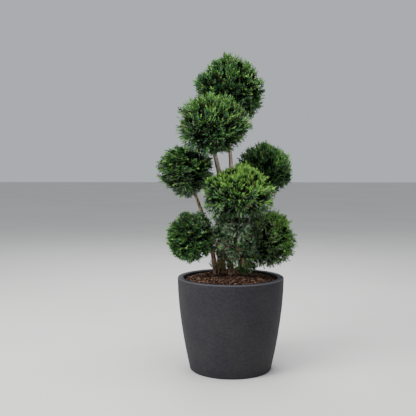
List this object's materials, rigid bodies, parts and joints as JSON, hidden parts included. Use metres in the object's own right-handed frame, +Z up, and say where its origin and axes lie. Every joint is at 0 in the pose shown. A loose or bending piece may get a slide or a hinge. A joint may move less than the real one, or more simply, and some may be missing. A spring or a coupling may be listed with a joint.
{
  "type": "cloud-pruned conifer in planter",
  "caption": "Patio conifer with bare stems carrying clipped round clouds of foliage, growing in bark-covered soil in a round planter that tapers to its foot.",
  "frame": {"origin": "centre of the planter's flat underside", "axes": "+Z up along the planter's axis, -Y towards the front, the side that the picture shows, +X to the right seen from the front"},
  "size_m": [0.6173, 0.5164, 1.4048],
  "materials": {
    "planter": "matte cast fibre stone, charcoal",
    "potting_mix": "bark mulch over potting soil",
    "bark": "fibrous bark",
    "clipped_foliage": "scale-leaved conifer sprays",
    "inner_foliage": "greyer, looser conifer sprays"
  },
  "bodies": {
    "root": {"planter": "planter", "soil": "potting_mix", "stem_left": "bark", "stem_right": "bark", "stem_back": "bark", "bough_low_left": "bark", "bough_low_right": "bark", "bough_right": "bark", "bough_front": "bark", "cloud_top": "clipped_foliage", "cloud_upper": "clipped_foliage", "cloud_left": "clipped_foliage", "cloud_right": "clipped_foliage", "cloud_front": "clipped_foliage", "cloud_low_left": "clipped_foliage", "cloud_low_right": "clipped_foliage", "inner_growth": "inner_foliage", "low_tuft": "inner_foliage"}
  },
  "joints": []
}
